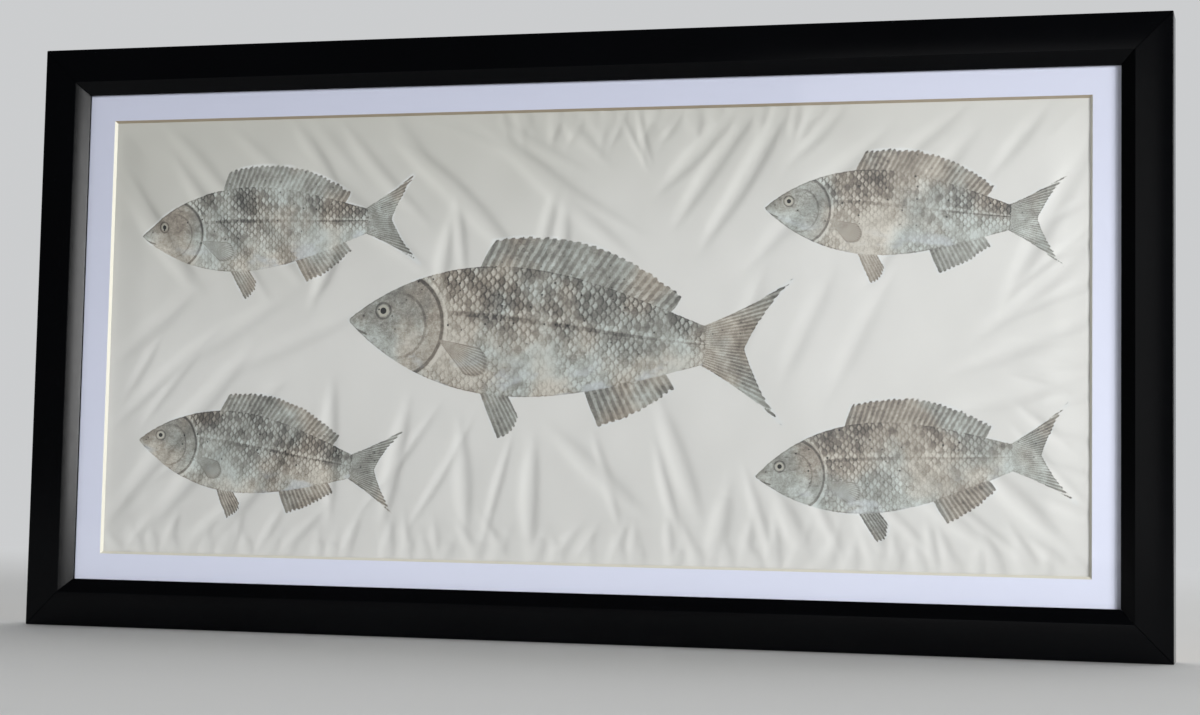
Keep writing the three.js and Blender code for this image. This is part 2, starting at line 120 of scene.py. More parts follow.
# Smaller creases that only the looks have: pleats, and puckers along the mat's edge
FINE_FOLDS = (
    ((0.535, 0.995, 0.565, 0.88), (0.575, 0.995, 0.572, 0.88), 3, 4, 0.8),
    ((0.05, 0.98, 0.13, 0.84), (0.3, 0.99, 0.34, 0.88), 4, 10, 0.9),
    ((0.36, 0.98, 0.47, 0.86), (0.47, 0.99, 0.53, 0.9), 3, 8, 1.0),
    ((0.02, 0.3, 0.13, 0.5), (0.1, 0.02, 0.17, 0.14), 3, 9, 1.1),
    ((0.29, 0.1, 0.35, 0.34), (0.4, 0.05, 0.43, 0.27), 3, 6, 0.9),
    ((0.55, 0.1, 0.52, 0.27), (0.62, 0.08, 0.58, 0.25), 2, 7, 1.0),
    ((0.7, 0.03, 0.68, 0.2), (0.93, 0.03, 0.82, 0.25), 4, 7, 0.9),
    ((0.77, 0.99, 0.73, 0.87), (0.97, 0.98, 0.9, 0.84), 3, 9, 0.9),
    ((0.94, 0.6, 0.995, 0.72), (0.93, 0.3, 0.99, 0.15), 6, 6, 0.8),
    ((0.01, 0.38, 0.06, 0.48), (0.05, 0.3, 0.1, 0.46), 2, 7, 0.8),
    ((0.03, 0, 0.05, 0.08), (0.2, 0, 0.23, 0.1), 6, 6.5, 0.8),
    ((0.27, 0, 0.28, 0.08), (0.43, 0, 0.42, 0.09), 6, 6.5, 0.7),
    ((0.48, 0, 0.5, 0.07), (0.64, 0, 0.62, 0.1), 6, 6.5, 0.8),
    ((0.67, 0, 0.675, 0.1), (0.98, 0, 0.95, 0.08), 11, 7, 1),
    ((0.42, 1, 0.425, 0.93), (0.6, 1, 0.59, 0.92), 8, 6, 0.8),
    ((0.63, 1, 0.62, 0.92), (0.74, 1, 0.73, 0.93), 6, 6.5, 0.9),
    ((1, 0.12, 0.96, 0.15), (1, 0.78, 0.965, 0.73), 9, 7, 1),
    ((0.01, -0.01, 0.014, 0.045), (0.3, -0.01, 0.306, 0.045), 13, 8, 1.1),
    ((0.32, -0.01, 0.326, 0.04), (0.66, -0.01, 0.66, 0.045), 13, 8, 0.9),
    ((0.68, -0.01, 0.68, 0.045), (0.99, -0.01, 0.984, 0.05), 14, 8, 1.2),
    ((0.45, 1.01, 0.45, 0.955), (0.74, 1.01, 0.734, 0.955), 13, 8, 1.1),
    ((0.395, 0.985, 0.56, 0.745), (0.31, 0.94, 0.385, 0.8), 2, 9, 2),
    ((0.385, 0.82, 0.39, 0.65), (0.475, 0.82, 0.465, 0.68), 2, 8, 1.6),
    ((0.015, 0.85, 0.08, 0.64), (0.075, 0.9, 0.17, 0.6), 2, 10, 1.8),
    ((0.2, 0.98, 0.25, 0.84), (0.26, 0.98, 0.34, 0.78), 2, 9, 1.6),
    ((0.9, 0.5, 0.995, 0.66), (0.86, 0.34, 0.995, 0.42), 3, 11, 1.5),
    ((0.69, 0.64, 0.66, 0.42), (0.82, 0.62, 0.77, 0.4), 3, 12, 0.8),
    ((0.015, 0.44, 0.1, 0.6), (0.12, 0.4, 0.27, 0.56), 3, 12, 1.1),
)
# Constants of the usual sine draw
DRAW_STEP = 12.9898
DRAW_SPREAD = 43758.5453

# The paper cover at the back, over the strainer's bars
FILL_WIDTH = 1298 * MM
FILL_HEIGHT = 624 * MM
BAR_WIDTH = 32 * MM
COVER_BACK = -9.8 * MM
COVER_PAPER = 0.3 * MM
COVER_CELL = 4.2 * MM
COVER_SAG = 3 * MM
COVER_LEAST = 0.1 * MM
COVER_BEND = 7 * MM  # how soon it falls away beside a bar
# Buckles of the cover between the bars: wavelengths along it and up it in metres, and height in mm
BUCKLES = (
    (0.41, 0.9, 0.9),
    (-0.33, 0.47, 0.6),
    (0.9, -0.26, 0.8),
    (0.17, 0.5, 0.3),
    (-0.21, 0.19, 0.25),
)
# Wrinkles that run in from the cover's edges: ends in metres from its middle, width and depth in mm
WRINKLES = (
    ((-0.62, 0.28), (-0.3, 0.12), 5, 3),
    ((-0.61, 0.27), (-0.42, 0.02), 4, 2.4),
    ((-0.58, 0.28), (-0.34, 0.2), 4, 2),
    ((0.62, 0.28), (0.36, 0.05), 5, 2.8),
    ((0.61, 0.25), (0.45, -0.05), 4, 2),
    ((0.6, -0.28), (0.3, -0.1), 5, 3),
    ((0.61, -0.27), (0.44, 0.03), 4, 2.2),
    ((-0.61, -0.28), (-0.36, -0.08), 5, 2.8),
    ((-0.6, -0.26), (-0.5, 0), 4, 2),
    ((-0.2, -0.28), (-0.12, -0.16), 4, 1.6),
    ((0.12, -0.28), (0.07, -0.14), 4, 1.6),
    ((0.2, 0.2), (0.26, 0.02), 5, 1.4),
    ((-0.25, 0.05), (-0.05, -0.02), 5, 1.3),
    ((-0.02, 0.22), (0.03, 0.08), 4, 1.5),
)

# The hanging cleat and its screws, as in the part, and the cross recess in a screw's head
CLEAT_LENGTH = 900 * MM
CLEAT_HEIGHT = 46 * MM
CLEAT_FRONT = -9.5 * MM
CLEAT_BACK = -0.5 * MM
CLEAT_NOSE = 1.6 * MM
CLEAT_EASE = 0.8 * MM
SCREW_COUNT = 5
SCREW_MARGIN = 40 * MM
SCREW_RADIUS = 4.6 * MM
SCREW_PROUD = 0.4 * MM
SCREW_TIP = -5 * MM
RECESS_DEPTH = 0.33 * MM
RECESS_REACH = 0.56  # length of its arms, as a share of the head's radius
RECESS_HALF = 0.13  # and half their width
RECESS_WALL = 0.07
RECESS_END = 0.12
SCREW_STEPS = 45
SCREW_TURN = 0.7  # from each screw to the next

# Printed fish: place as shares of the window, length and turn in degrees, as in the part
FISH = (
    (0.49, 0.5, 550 * MM, 4),
    (0.185, 0.75, 370 * MM, -3),
    (0.18, 0.225, 350 * MM, 6),
    (0.835, 0.76, 350 * MM, 3),
    (0.835, 0.225, 365 * MM, -5),
)
# A fish's body, in shares of its length: half its depth, where that is, its taper both ways and its end
BODY_HALF = 0.142
BODY_DEEPEST = 0.373
BODY_HEAD = 0.95
BODY_REAR = 1.6
BODY_END = 0.82
# A point's rise over the middle line is a share of the half depth there, which counts as at least this
BODY_LEAST = 0.012
RISE_LIMIT = 1.5
# Numbers of points on an outline, a curve and a fin's base, and how much closer they are at the snout
OUTLINE_STEPS = 60
CURVE_STEPS = 12
RAY_STEPS = 24
RAY_PARTS = 8  # places looked at between two such points
SNOUT_POWER = 1.5
# Side, base along the body, ray lengths, bulge, lean of the rays in degrees, and number of rays
FINS = (
    (1, (0.29, 0.73), (0.07, 0.045), 0.03, (62, 40), 26),
    (-1, (0.55, 0.73), (0.085, 0.04), 0.008, (58, 38), 13),
    (-1, (0.31, 0.37), (0.115, 0.06), 0.01, (58, 40), 7),
)
FIN_ROOT = 0.8
TAIL_ROOT = 0.79
TAIL_TIP = (1, 0.155)
TAIL_NOTCH = 0.905
TAIL_HOLLOW = (0.935, 0.078)
TAIL_BOW = 0.018
TAIL_FAN = 0.7  # where the tail's rays would meet
TAIL_RAYS = 34  # in as many degrees as TAIL_SPREAD
TAIL_SPREAD = 70
# What each point of the sheet knows about the fish that it is on: where, how large, and how far inside
FISH_VALUES = ("along", "across", "size", "rise", "ray", "reach", "body_gap", "fin_gap")
# The oblong round a fish, in shares of its length, whose points get its values, and the gap of all others
FISH_ENDS = (-0.05, 1.05)
FISH_HALF = 0.29
FAR_OFF = 1.0
# Distance between rows of scales on a fish one metre long, and a scale's radius as a share of it
SCALE_PITCH = 15.5 * MM
SCALE_RADIUS = 0.78
# Black dots: how closely places for them lie, and the share of the places that stay empty
DOT_CELLS = 58
DOT_GAPS = 0.62
# Places and radii on a fish's head, in shares of its length
GILL_AT = (0.118, -0.004)
GILL_RIMS = (0.105, 0.114)
CHEEK_LINE = 0.066
MOUTH_ENDS = (0.045, 0.052)
NOSTRIL_AT = (0.036, 0.012)
EYE_AT = (0.082, 0.026)
EYE_RING = 0.0175
IRIS_EDGE = (0.0125, 0.0135)
PUPIL_EDGE = (0.0068, 0.0076)
# Breast fin: root, reach and roundness in shares of the fish's length, turn and half spread in degrees
FAN_ROOT = (0.215, -0.028)
FAN_REACH = 0.135
FAN_ROUND = 0.035
FAN_TURN = 27
FAN_HALF = 21

# Scales that stretch the grain of a rail or bar along it
ALONG_X, ALONG_Z = (0.04, 1, 1), (1, 1, 0.04)

# Colours. Where there are two, the surface passes in patches from one to the other.
PAINT = ((0.0008, 0.0009, 0.0012), (0.0018, 0.002, 0.0026))
BARE_WOOD = ((0.4, 0.26, 0.13), (0.56, 0.4, 0.22))
PINE = ((0.42, 0.25, 0.1), (0.66, 0.47, 0.26))
GLAZING_TINT = (0.985, 0.99, 0.992)
GLAZING_IOR = 1.4
BOARD = ((0.62, 0.6, 0.54), (0.7, 0.68, 0.62))
MAT = ((0.765, 0.785, 0.925), (0.79, 0.81, 0.95))
# Painted shade on the mat's face, darker towards the top and a little to the left
MAT_PAINTED_SHADE = (0.61, 0.625, 0.745)
# The mat's cut: painted shade where it faces down, and the cream core's own colour elsewhere
MAT_CUT_SHADE_AND_CORE = ((0.36, 0.3, 0.22), (0.8, 0.765, 0.66))
KRAFT = ((0.35, (0.25, 0.14, 0.058)), (0.6, (0.37, 0.225, 0.1)), (0.8, (0.47, 0.31, 0.155)))
KRAFT_FLECK = (0.16, 0.09, 0.04)
STEEL = ((0.42, 0.42, 0.4), (0.66, 0.66, 0.64))
# Painted shade in the cross recess of a screw's head
STEEL_RECESS_SHADE = (0.02, 0.019, 0.017)
FLOOR = ((0.72, 0.72, 0.71), (0.76, 0.76, 0.75))
PAPER = ((0.69, 0.679, 0.65), (0.73, 0.718, 0.692))
# Painted shade on the paper, darker towards the top and a little to the left
PAPER_PAINTED_SHADE = (0.48, 0.47, 0.42)
PAPER_FIBRE = (0.765, 0.752, 0.722)
PAPER_CLEAN = (0.72, 0.73, 0.72)
# Ink from the thinnest to the thickest, its cool and warm tints, and the touches of colour on a fish
INK = (
    (0.0, (0.59, 0.605, 0.58)),
    (0.2, (0.43, 0.43, 0.4)),
    (0.42, (0.285, 0.272, 0.246)),
    (0.66, (0.17, 0.16, 0.146)),
    (0.95, (0.065, 0.062, 0.06)),
)
INK_TINTS = ((0.965, 1.0, 0.995), (1.05, 0.965, 0.89))
CHALK = (0.6, 0.635, 0.66)
IRIS = (0.5, 0.48, 0.41)
PUPIL = (0.02, 0.02, 0.022)
DOT = (0.012, 0.012, 0.014)

# Where the paint ends on the moulding's back
BARE_DEPTH = (-2 * MM, -1 * MM)

# The studio wall's colour and brightness as seen
WALL_COLOUR = (0.97, 0.985, 1.0)
WALL_SHOWN = 0.62
# Half the floor's size, and the two distances between which it passes into the wall's colour, in metres
FLOOR_REACH = 8
FLOOR_FADE = (1.4, 4.8)
# Light from the wall and from the dim room in front, and where between the two one becomes the other
ROOM_COLOUR = (0.95, 0.975, 1.0)
WALL_LIGHT = 0.5
ROOM_LIGHT = 0.07
ROOM_TO_WALL = (-0.1, 0.3)

# Key light: distance, size and brightness, and degrees off the line straight out of the print and up
KEY_DISTANCE = 12
KEY_SIZE = (2.6, 2.6)
KEY_RADIANCE = 64
KEY_OFF_AXIS = 54
KEY_RISE = 5

# Place, size and brightness: a strip that the left bevel mirrors, a light over the floor and a dim card
SIDE_STRIP = ((3.6, -4.2, 0.1), (0.45, 1.6), 23)
OVERHEAD = ((1, 3.5, 5), (10, 6), 1.3)
FRONT_CARD = ((0.1, -5, 0.1), (1.6, 1.6), 1)

# The camera that fits the frame's corners in the photograph: place, turn in degrees, lens and shift
CAMERA_AT = (0.8234, -2.8048, -0.5339)
CAMERA_TURN = (94.724, -1.074, 15.798)
CAMERA_LENS = 72.96
CAMERA_SHIFT = -0.048


class Term:
    """A value in a node tree that can be used in sums like a number."""

    def __init__(self, graph, socket):
        self.graph, self.socket = graph, socket

    def do(self, operation, *others, clamp=False):
        return self.graph.math(operation, self, *others, clamp=clamp)

    def __add__(self, other):
        return self.do("ADD", other)

    def __sub__(self, other):
        return self.do("SUBTRACT", other)

    def __rsub__(self, other):
        return self.graph.math("SUBTRACT", other, self)

    def __mul__(self, other):
        return self.do("MULTIPLY", other)

    def __truediv__(self, other):
        return self.do("DIVIDE", other)

    __radd__ = __add__
    __rmul__ = __mul__


class Graph:
    """A new material, or world, with short calls for the nodes that are shared here."""

    def __init__(self, name, kind=bpy.data.materials):
        self.owner = kind.new(name)
        self.owner.use_nodes = True
        self.tree = self.owner.node_tree
        self.tree.nodes.clear()

    def node(self, kind, inputs=None, **settings):
        made = self.tree.nodes.new(kind)
        for key, value in settings.items():
            setattr(made, key, value)
        for key, value in (inputs or {}).items():
            self.set(made.inputs[key], value)
        return made

    def set(self, socket, value):
        if isinstance(value, Term):
            self.tree.links.new(value.socket, socket)
        elif hasattr(socket.default_value, "__len__"):
            colour = len(socket.default_value) == 4 and len(value) == 3
            socket.default_value = (*value, 1) if colour else value
        else:
            socket.default_value = value

    def math(self, operation, *values, clamp=False):
        made = self.node("ShaderNodeMath", operation=operation, use_clamp=clamp)
        for socket, value in zip(made.inputs, values):
            self.set(socket, value)
        return Term(self, made.outputs[0])

    def length(self, x, y):
        """The length of a flat vector."""
        return (x.do("POWER", 2) + y.do("POWER", 2)).do("SQRT")

    def read(self, kind, inputs=None, output=0, **settings):
        """One output of a new node."""
        return Term(self, self.node(kind, inputs, **settings).outputs[output])

    def attribute(self, name):
        return self.read("ShaderNodeAttribute", output="Fac", attribute_name=name)

    def position(self):
        """The place on the object, in metres."""
        return self.read("ShaderNodeTexCoord", output="Object")

    def facing(self):
        """Which way the surface faces, along each axis."""
        return self.axes(self.read("ShaderNodeNewGeometry", output="Normal"))

    def axes(self, vector):
        split = self.node("ShaderNodeSeparateXYZ", {"Vector": vector})
        return [Term(self, s) for s in split.outputs]

    def vector(self, x=0, y=0, z=0):
        return self.read("ShaderNodeCombineXYZ", {"X": x, "Y": y, "Z": z})

    def stretched(self, vector, scale):
        return self.read("ShaderNodeVectorMath", {0: vector, 1: scale}, operation="MULTIPLY")

    def noise(self, vector, scale, detail=3, rough=0.5, warp=0):
        """Cloudy noise from about 0.25 to 0.75, with a mean of 0.5."""
        inputs = {"Vector": vector, "Scale": scale, "Detail": detail, "Roughness": rough}
        return self.read("ShaderNodeTexNoise", inputs | {"Distortion": warp}, "Fac")

    def step(self, value, low, high, start=0, end=1):
        """A soft step from start at low to end at high."""
        inputs = {"Value": value, "From Min": low, "From Max": high, "To Min": start, "To Max": end}
        return self.read("ShaderNodeMapRange", inputs, interpolation_type="SMOOTHSTEP")

    def line(self, value, at, half):
        """1 where value is at the place of a line, 0 further off than half its width."""
        return 1 - self.step((value - at).do("ABSOLUTE"), half * 0.4, half)

    def mix(self, share, a, b, blend="MIX"):
        made = self.node("ShaderNodeMix", data_type="RGBA", blend_type=blend)
        self.set(made.inputs["Factor"], share)
        colours = [s for s in made.inputs if s.type == "RGBA"]
        self.set(colours[0], a)
        self.set(colours[1], b)
        return Term(self, next(s for s in made.outputs if s.type == "RGBA"))

    def ramp(self, value, *stops):
        """A run of colours over value, from pairs of place and colour."""
        made = self.node("ShaderNodeValToRGB", {"Fac": value})
        points = made.color_ramp.elements
        while len(points) < len(stops):
            points.new(0.5)
        for point, (at, colour) in zip(points, stops):
            point.position = at
            point.color = (*colour, 1)
        return Term(self, made.outputs["Color"])

    def bump(self, height, strength, distance):
        return self.read("ShaderNodeBump", {"Height": height, "Strength": strength, "Distance": distance})

    def finish(self, colour, roughness, normal=None, **sockets):
        """Ends the material in one Principled shader."""
        inputs = {"Base Color": colour, "Roughness": roughness}
        inputs.update({key.replace("_", " "): value for key, value in sockets.items()})
        if normal is not None:
            inputs["Normal"] = normal
        return self.end(self.read("ShaderNodeBsdfPrincipled", inputs))

    def end(self, shader, kind="ShaderNodeOutputMaterial"):
        self.node(kind, {"Surface": shader})
        return self.owner


def black_paint(name, along):
    """Satin black paint on smooth wood; the back of the moulding is bare."""
    g = Graph(name)
    place = g.position()
    grain = g.noise(place, 900, 2)
    cloud = g.noise(place, 6, 3)
    rub = g.noise(place, 60, 4, 0.6)
    paint = g.mix(cloud, *PAINT)
    depth = g.axes(place)[1]
    bare = g.step(g.facing()[1] + rub * 0.1, 0.9, 1.02) * g.step(depth, *BARE_DEPTH)
    wood = wood_colour(g, place, *BARE_WOOD, along)
    colour = g.mix(bare, paint, wood)
    rough = 0.11 + rub * 0.09 + bare * 0.42
    normal = g.bump(grain * 0.6 + rub * 0.4, 0.12, 0.2 * MM)
    return g.finish(colour, rough, normal, Specular_IOR_Level=0.1)


def wood_colour(g, place, dark, light, along):
    """Long streaks of grain. along holds a small scale for the direction that the grain runs in."""
    stretched = g.stretched(place, along)
    rings = g.noise(stretched, 90, 4, 0.6, 0.8)
    fibre = g.noise(stretched, 600, 4, 0.75)
    share = g.step(rings, 0.35, 0.65) * 0.65 + (fibre - 0.5)
    middle = tuple((a + b) / 2 for a, b in zip(dark, light))
    return g.ramp(share, (0.0, light), (0.5, middle), (1.0, dark))


def pine(name, along):
    g = Graph(name)
    place = g.position()
    colour = wood_colour(g, place, *PINE, along)
    fibre = g.noise(g.stretched(place, along), 500, 3, 0.7)
    return g.finish(colour, 0.55 + fibre * 0.2, g.bump(fibre, 0.25, 0.3 * MM), Specular_IOR_Level=0.3)


def clear_glazing():
    """Clear sheet: what is behind shows through, with a faint mirror image over it.

    The back faces mirror nothing, or they would hold back slanting light.
    """
    g = Graph("clear_glazing")
    through = g.read("ShaderNodeBsdfTransparent", {"Color": GLAZING_TINT})
    mirror = g.read("ShaderNodeBsdfGlossy", {"Color": (1, 1, 1), "Roughness": 0.04})
    fresnel = g.read("ShaderNodeFresnel", {"IOR": GLAZING_IOR})
    share = fresnel * (1 - g.read("ShaderNodeNewGeometry", output="Backfacing"))
    return g.end(g.read("ShaderNodeMixShader", {0: share, 1: through, 2: mirror}))


def mat_board():
    """Cool white board with a fine tooth; its slanting cut shows the cream core. Painted shade darkens the
    face towards the top left, and the cut where it faces down.
    """
    g = Graph("mat_board")
    place = g.position()
    tooth = g.noise(place, 1400, 2)
    cloud = g.noise(place, 4, 2)
    x, _, z = g.axes(place)
    face = g.mix(cloud, *MAT)
    # Painted shade: the face darkens towards the top and a little to the left
    face = g.mix(g.step((z - MIDDLE_Z) * 2 - x * 0.3, -0.6, 0.9), face, MAT_PAINTED_SHADE)
    _, back, up = g.facing()
    core = g.step(back, -0.9, -0.8)
    # Painted shade on the cut where it faces down
    cut = g.mix(g.step(up, -0.5, -0.3), *MAT_CUT_SHADE_AND_CORE)
    colour = g.mix(core, face, cut)
    return g.finish(colour, 0.85, g.bump(tooth, 0.15, 0.1 * MM), Specular_IOR_Level=0.2)


def plain_board(name, dark, light):
    g = Graph(name)
    place = g.position()
    colour = g.mix(g.noise(place, 40, 4), dark, light)
    return g.finish(colour, 0.9, g.bump(g.noise(place, 600, 3), 0.3, 0.1 * MM), Specular_IOR_Level=0.2)


def kraft_paper():
    """Brown kraft paper with fine fibres across it."""
    g = Graph("kraft_paper")
    place = g.position()
    lengthwise = g.noise(g.stretched(place, (1, 1, 12)), 110, 4, 0.7)
    crosswise = g.noise(g.stretched(place, (9, 1, 1)), 160, 3, 0.7)
    cloud = g.noise(place, 9, 5, 0.65)
    x, _, z = g.axes(place)
    in_x = FILL_WIDTH / 2 - x.do("ABSOLUTE")
    in_z = FILL_HEIGHT / 2 - (z - MIDDLE_Z).do("ABSOLUTE")
    inside = in_x.do("MINIMUM", in_z) + (cloud - 0.5) * 4 * MM
    rubbed = g.line(inside, BAR_WIDTH, 3 * MM) * 0.1 - (1 - g.step(inside, 2 * MM, 12 * MM)) * 0.12
    share = lengthwise * 0.65 + crosswise * 0.12 + cloud * 0.3 + rubbed + 0.03
    colour = g.ramp(share, *KRAFT)
    flecks = g.step(g.noise(g.stretched(place, (1, 1, 5)), 240, 2, 0.6), 0.66, 0.72)
    colour = g.mix(flecks * 0.5, colour, KRAFT_FLECK)
    crumple = g.noise(place, 28, 4, 0.6, 0.5)
    normal = g.bump(lengthwise * 0.4 + crumple * 3 + g.noise(place, 900, 2) * 0.4, 0.35, 0.6 * MM)
    return g.finish(colour, 0.55 + cloud * 0.2, normal, Specular_IOR_Level=0.35)


def zinc_steel():
    """Plated steel, with painted shade in the recess of a screw's head. The mesh's own values say where
    that is.
    """
    g = Graph("zinc_steel")
    place = g.position()
    worn = g.noise(place, 900, 4, 0.6)
    sunk = g.step(g.attribute("sunk"), 0.3, 0.9)
    # Painted shade in the recess
    colour = g.mix(sunk, g.mix(worn, *STEEL), STEEL_RECESS_SHADE)
    rough = 0.28 + worn * 0.25 + sunk * 0.4
    return g.finish(colour, rough, g.bump(worn, 0.15, 0.05 * MM), Metallic=1 - sunk)


def scale_rows(g, along, across):
    """Overlapping scales: how far out a point is on the scale that covers it, and that scale's tone."""
    rim, tone = None, None
    for back in (0, 1, 2):
        column = (along * 2).do("FLOOR") - back
        odd = (column * 0.5).do("FRACT")
        row = (across - odd + 0.5).do("FLOOR") + odd
        far = g.length(along - column * 0.5, (across - row) * 1.1) / SCALE_RADIUS
        place = {"Vector": g.vector(column, row, 0)}
        drawn = g.read("ShaderNodeTexWhiteNoise", place, "Value", noise_dimensions="3D")
        if rim is None:
            rim, tone = far, drawn
        else:
            covers = far.do("LESS_THAN", 1)
            rim = rim + (far - rim) * covers
            tone = tone + (drawn - tone) * covers
    return rim, tone


def bare_paper(g, flat, fibre, threads):
    """Ivory paper: faint fibres, and painted shade that darkens it towards the upper left."""
    x, _, z = g.axes(flat)
    cloud = g.noise(flat, 5, 3)
    paper = g.mix(cloud, *PAPER)
    # Painted shade: darker towards the top of the sheet and a little to the left
    painted_shade_share = g.step((z - MIDDLE_Z) * 3 - x * 0.5 + (cloud - 0.5) * 0.5, 0, 1.1)
    paper = g.mix(painted_shade_share, paper, PAPER_PAINTED_SHADE)
    return g.mix((fibre + threads - 1) * 0.5 + 0.25, paper, PAPER_FIBRE)


def head_lines(g, u, v, gill):
    """Ink of the gill cover's rims, the cheek, the mouth and the ring of the eye."""
    cover = g.step(u, 0.1, 0.16)
    rims = g.line(gill, GILL_RIMS[0], 0.005) * 0.4 - g.line(gill, GILL_RIMS[1], 0.006) * 0.24
    cheek = g.line(gill, CHEEK_LINE, 0.004) * g.step(u, 0.1, 0.15) * 0.22
    mouth = g.line(v + 0.012 + u * 0.35, 0, 0.0035) * (1 - g.step(u, *MOUTH_ENDS))
    nostril = g.line(g.length(u - NOSTRIL_AT[0], v - NOSTRIL_AT[1]), 0, 0.004)
    eye = g.length(u - EYE_AT[0], v - EYE_AT[1])
    ring = g.line(eye, EYE_RING, 0.003)
    return eye, rims * cover + cheek + mouth * 0.5 + nostril * 0.4 + ring * 0.35


def breast_fin(g, u, v, blotch):
    """Ink of a fan of rays that lies over the flank, and the fan's own cover."""
    dx, dy = u - FAN_ROOT[0], v - FAN_ROOT[1]
    out = g.length(dx, dy)
    turn = dy.do("ARCTAN2", dx) * math.degrees(1) + FAN_TURN
    side = turn.do("ABSOLUTE") / FAN_HALF
    reach = out / (FAN_REACH - side.do("POWER", 2) * FAN_ROUND) + (blotch - 0.5) * 0.12
    fan = (1 - g.step(side + (blotch - 0.5) * 0.1, 0.94, 1.0)) * (1 - g.step(reach, 0.94, 1.0))
    fan = fan * g.step(out, 0.002, 0.008)
    rays = g.line((turn * 0.3).do("FRACT"), 0.5, 0.4)
    rim = fan * (g.step(side, 0.84, 0.96) + g.step(reach, 0.86, 0.98)).do("MINIMUM", 1)
    return fan, 0.2 + rays * 0.26 + rim * 0.26 + (blotch - 0.5) * 0.5


def pin_dots(g, x, z):
    """Small black dots, scattered."""
    inputs = {"Vector": g.vector(x, z, 0), "Scale": DOT_CELLS, "Randomness": 1.0}
    cells = g.node("ShaderNodeTexVoronoi", inputs, voronoi_dimensions="2D")
    kept = g.axes(Term(g, cells.outputs["Color"]))
    near = 1 - g.step(Term(g, cells.outputs["Distance"]) + kept[1] * 0.03, 0.06, 0.09)
    return near * kept[0].do("GREATER_THAN", DOT_GAPS)


def ink_marks(g, flat):
    """Cloudy and grainy noises that the rubbing left."""
    return SimpleNamespace(
        grain=g.noise(flat, 620, 3, 0.8),
        blotch=g.noise(flat, 75, 5, 0.65, 0.4),
        patch=g.noise(flat, 17, 4, 0.6, 0.3),
        press=g.step(g.noise(flat, 13, 4, 0.65, 0.6), 0.36, 0.62),
        crumb=g.step(g.noise(g.stretched(flat, (1, 1, 2.2)), 150, 4, 0.7, 0.8), 0.54, 0.62),
    )


def ink_shapes(g, flat, at, mark, rays):
    """Where the ink is: inside a body or a fin, with a rough edge."""
    ragged = (g.noise(flat, 240, 4, 0.75) - 0.5) * 3.2 * MM
    fringe = ((1 - rays) * 1.8 * MM + (mark.blotch - 0.5) * 9 * MM) * g.step(at.reach, 0.5, 1.0)
    body = 1 - g.step(at.body_gap + ragged, -0.5 * MM, 0.4 * MM)
    fin = (1 - g.step(at.fin_gap + ragged + fringe, -0.6 * MM, 0.5 * MM)) * (1 - body)
    return body, fin


def scale_ink(g, flat, at, mark, back, behind):
    """Ink of the scales behind the gill cover, which took it unevenly."""
    wave = (g.noise(flat, 11, 2) - 0.5) * 0.9
    pitch = at.size.do("POWER", 0.6) * SCALE_PITCH
    rim, tone = scale_rows(g, at.along * at.size / pitch + wave, at.across * at.size / pitch + wave)
    inked = g.step(tone + (mark.press - 0.5) * 0.5 + back * 0.12, 0.7, 0.86) * (1 - g.step(rim, 0.5, 0.95))
    rims = g.step(rim, 0.55, 0.95) * (0.16 + mark.press * 0.44) + (tone - 0.5) * 0.16
    return (rims + inked * 0.24 - 0.1) * behind * (0.5 + back * 0.65)


def body_ink(g, flat, at, mark):
    """Ink of a body, with a dark back and a pale belly, and the distance from its eye."""
    gill = g.length(at.along - GILL_AT[0], (at.across - GILL_AT[1]) * 0.92)
    behind = g.step(gill, 0.108, 0.118) * g.step(at.along, 0.13, 0.2)
    back = g.step(at.rise, -0.8, 0.8)
    ink = 0.11 + back * 0.24 + scale_ink(g, flat, at, mark, back, behind)
    ink = ink + (mark.blotch - 0.5) * 0.8 + (mark.patch - 0.5) * 0.75 + mark.crumb * mark.press * 0.2
    side_line = at.rise + at.along * 0.35
    line_ink = g.line(side_line, 0.33, 0.05) * 0.2 - g.line(side_line, 0.43, 0.07) * 0.16
    ink = ink + line_ink * behind * (0.4 + mark.press)
    eye, lines = head_lines(g, at.along, at.across, gill)
    ink = ink + lines + (1 - behind) * (g.noise(flat, 210, 4, 0.7) - 0.42) * 0.8
    fan, fan_ink = breast_fin(g, at.along, at.across, mark.blotch)
    return ink + (fan_ink - ink) * fan * 0.85, eye


def fin_ink(at, mark, rays):
    """Ink of the fins: dark rays, paler skin between them, darker and worn towards the tips."""
    ink = 0.16 + rays * (0.14 + mark.press * 0.2) + at.reach * 0.12
    return ink + (mark.blotch - 0.5) * 0.9 + (mark.patch - 0.5) * 0.7 + mark.crumb * mark.press * 0.22


def ink_colour(g, flat, at, ink, body, eye):
    """The ink's colour, cooler and warmer in patches, with chalk on the belly, an iris and a pupil."""
    colour = g.ramp(ink.do("MULTIPLY", 1, clamp=True), *INK)
    warm = g.step(g.noise(flat, 10, 3), 0.42, 0.6)
    colour = g.mix(1.0, colour, g.mix(warm, *INK_TINTS), "MULTIPLY")
    chalk = g.step(g.noise(g.stretched(flat, (0.5, 1, 1)), 38, 3), 0.52, 0.62)
    belly = (1 - g.step(at.rise, -0.85, -0.3)) * body
    colour = g.mix(chalk * belly * 0.55, colour, CHALK)
    iris = (1 - g.step(eye, *IRIS_EDGE)) * body
    pupil = (1 - g.step(eye, *PUPIL_EDGE)) * body
    return g.mix(pupil, g.mix(iris * 0.85, colour, IRIS), PUPIL)


